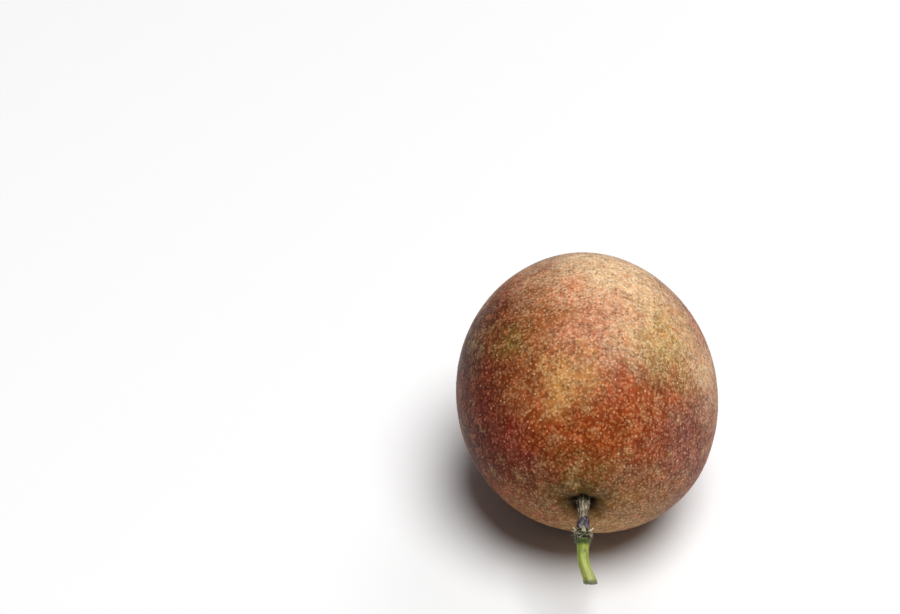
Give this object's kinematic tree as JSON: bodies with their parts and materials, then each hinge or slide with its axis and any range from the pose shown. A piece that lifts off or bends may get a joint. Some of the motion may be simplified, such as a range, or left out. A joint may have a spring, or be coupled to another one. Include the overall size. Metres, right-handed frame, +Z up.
{
  "type": "passion fruit",
  "caption": "Whole round passion fruit lying on its side, with its thin stalk, the dry flower scar on the stalk and the green cut tip.",
  "frame": {"origin": "middle of the small flat spot that the fruit rests on", "axes": "+Z up, away from the surface it rests on; the stalk end points towards -Y; +X to the right of someone who faces the stalk"},
  "size_m": [0.056, 0.0795, 0.0531],
  "materials": {
    "rind": "satin rind, red-brown over yellow-green, with dense fine pale specks",
    "stipe": "matt, dull purplish grey with paler ribs",
    "dry_flower": "dry, dark brown to pale straw",
    "green_stalk": "smooth fresh green, with a dull cut end"
  },
  "bodies": {
    "root": {"fruit": "rind", "stipe": "stipe", "flower_scar": "dry_flower", "green_stalk": "green_stalk"}
  },
  "joints": []
}
